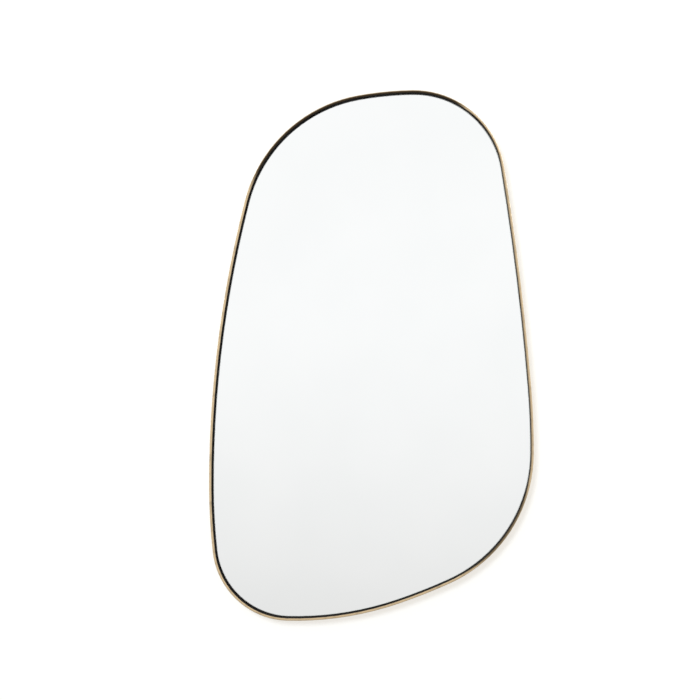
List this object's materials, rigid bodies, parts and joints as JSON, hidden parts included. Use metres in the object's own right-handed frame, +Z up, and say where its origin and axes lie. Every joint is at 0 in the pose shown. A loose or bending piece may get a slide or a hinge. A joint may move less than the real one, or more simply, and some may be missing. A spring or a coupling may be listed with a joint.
{
  "type": "irregular wall mirror",
  "caption": "Irregular pebble-shaped wall mirror, its glass recessed in a thin, deep metal band, with D-ring hangers behind.",
  "frame": {"origin": "on the wall plane, at the middle of the outline's width and height", "axes": "+X to the viewer's right, +Y into the wall, so the mirror faces -Y, and +Z up"},
  "size_m": [0.553, 0.03, 0.9],
  "materials": {
    "antique_brass": "brushed steel plated in antique brass",
    "silvered_glass": "polished float glass silvered on its back, with ground edges",
    "foam_tape": "white foam tape, adhesive on both faces",
    "black_board": "medium-density fibreboard sealed in matt black",
    "zinc_screw": "bright zinc-plated steel",
    "zinc_hanger": "bright zinc-plated steel"
  },
  "bodies": {
    "mirror": {"frame_band": "antique_brass", "mirror_glass": "silvered_glass", "tape_strip_1": "foam_tape", "tape_strip_2": "foam_tape", "tape_strip_3": "foam_tape", "tape_strip_4": "foam_tape", "backing_board": "black_board", "fixing_tab_1": "antique_brass", "fixing_tab_2": "antique_brass", "fixing_tab_3": "antique_brass", "fixing_tab_4": "antique_brass", "fixing_tab_5": "antique_brass", "fixing_tab_6": "antique_brass", "fixing_tab_7": "antique_brass", "tab_screws": "zinc_screw", "hanger_screws": "zinc_screw", "hanger_strap_left": "zinc_hanger", "hanger_strap_right": "zinc_hanger"},
    "left_ring": {"hanger_ring_left": "zinc_hanger"},
    "right_ring": {"hanger_ring_right": "zinc_hanger"}
  },
  "joints": [
    {"name": "left_ring_swing", "type": "hinge", "parent": "mirror", "child": "left_ring", "pos_m": [-0.14, -0.00631, 0.24], "axis": [-1, 0, 0], "range_deg": [-6, 166]},
    {"name": "right_ring_swing", "type": "hinge", "parent": "mirror", "child": "right_ring", "pos_m": [0.14, -0.00631, 0.24], "axis": [-1, 0, 0], "range_deg": [-6, 166]}
  ]
}
